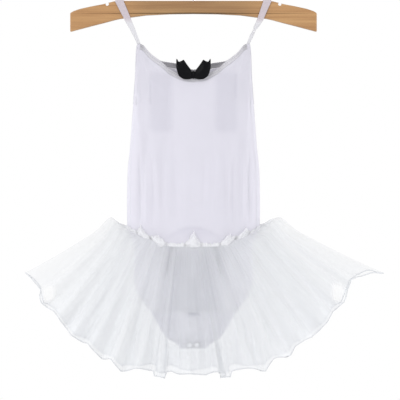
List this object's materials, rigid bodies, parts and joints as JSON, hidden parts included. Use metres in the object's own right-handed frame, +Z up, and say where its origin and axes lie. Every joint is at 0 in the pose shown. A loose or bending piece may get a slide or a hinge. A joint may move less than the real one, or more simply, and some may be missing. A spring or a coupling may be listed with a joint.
{
  "type": "ballet dress on a wooden hanger",
  "caption": "White camisole leotard with a sheer flared skirt and a black satin bow, hung by its straps on a flat wooden hanger with a wire hook.",
  "frame": {"origin": "inside top of the hanger's hook, where the rail holds it", "axes": "+X to the viewer's right as the front is seen, -Y out of the front, +Z up"},
  "size_m": [0.5085, 0.1598, 0.5954],
  "materials": {
    "hanger_wood": "clear satin varnish",
    "hook_steel": "polished",
    "strap_elastic": "narrow woven elastic",
    "white_jersey": "matte cotton jersey",
    "elastic_lace": "narrow speckled lace elastic",
    "sheer_chiffon": "sheer chiffon with a rolled hem",
    "black_satin": "satin ribbon",
    "snap_metal": "small pressed snaps"
  },
  "bodies": {
    "root": {"hanger_board": "hanger_wood", "hanger_hook": "hook_steel", "strap_left": "strap_elastic", "strap_right": "strap_elastic", "bodice_front": "white_jersey", "bodice_back": "white_jersey", "neck_trim_front": "elastic_lace", "neck_trim_back": "elastic_lace", "brief_front": "white_jersey", "brief_back": "white_jersey", "gusset": "white_jersey", "snap_left": "snap_metal", "snap_right": "snap_metal", "waist_gathers_front": "sheer_chiffon", "waist_gathers_back": "sheer_chiffon", "skirt_front": "sheer_chiffon", "skirt_back": "sheer_chiffon", "bow_left": "black_satin", "bow_right": "black_satin", "bow_knot": "black_satin"}
  },
  "joints": []
}
